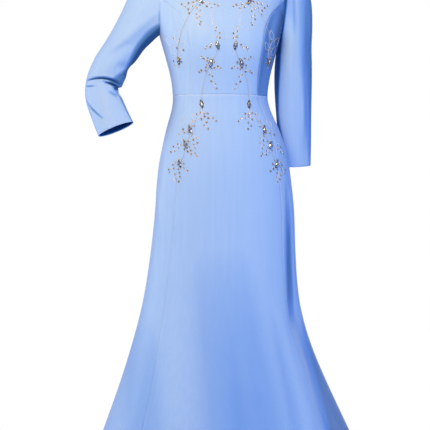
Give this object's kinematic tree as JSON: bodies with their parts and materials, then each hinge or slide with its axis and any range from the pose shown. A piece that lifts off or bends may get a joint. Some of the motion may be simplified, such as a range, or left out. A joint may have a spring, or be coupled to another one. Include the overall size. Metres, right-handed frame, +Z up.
{
  "type": "mermaid gown",
  "caption": "Long fitted evening gown in pale blue crepe with princess seams, flared gored skirt, three-quarter sleeves, beaded front and a back zip.",
  "frame": {"origin": "middle of the shoulder line, level with the points where neck and shoulder seams meet", "axes": "+Z up towards the wearer's head, -Y out of the front, +X towards the wearer's left"},
  "size_m": [0.8032, 0.7379, 1.4705],
  "materials": {
    "crepe": "smooth matt crepe with a slight sheen",
    "crystal": "cut and polished, foil backed",
    "zip_metal": "satin plated"
  },
  "bodies": {
    "gown": {"bodice_centre_front": "crepe", "bodice_side_front_left": "crepe", "bodice_side_front_right": "crepe", "bodice_side_back_left": "crepe", "bodice_side_back_right": "crepe", "bodice_centre_back_left": "crepe", "bodice_centre_back_right": "crepe", "skirt_centre_front": "crepe", "skirt_side_front_left": "crepe", "skirt_side_front_right": "crepe", "skirt_side_back_left": "crepe", "skirt_side_back_right": "crepe", "skirt_centre_back_left": "crepe", "skirt_centre_back_right": "crepe", "sleeve_bent": "crepe", "sleeve_hanging": "crepe", "crystal_yoke_left": "crystal", "crystal_yoke_right": "crystal", "crystal_shoulder_left": "crystal", "crystal_shoulder_right": "crystal", "crystal_breast_left": "crystal", "crystal_breast_right": "crystal", "crystal_rib_left": "crystal", "crystal_rib_right": "crystal", "crystal_waist_left": "crystal", "crystal_waist_right": "crystal", "crystal_hip_left": "crystal", "crystal_hip_right": "crystal", "crystal_flank_left": "crystal", "crystal_flank_right": "crystal", "crystal_thigh_left": "crystal", "crystal_thigh_right": "crystal", "zip_slider": "zip_metal"},
    "zip_pull": {"zip_pull": "zip_metal"}
  },
  "joints": [
    {"name": "zip_pull_swing", "type": "hinge", "parent": "gown", "child": "zip_pull", "pos_m": [0, 0.07853, -0.03948], "axis": [1, 0, 0], "range_deg": [0, 150]}
  ]
}
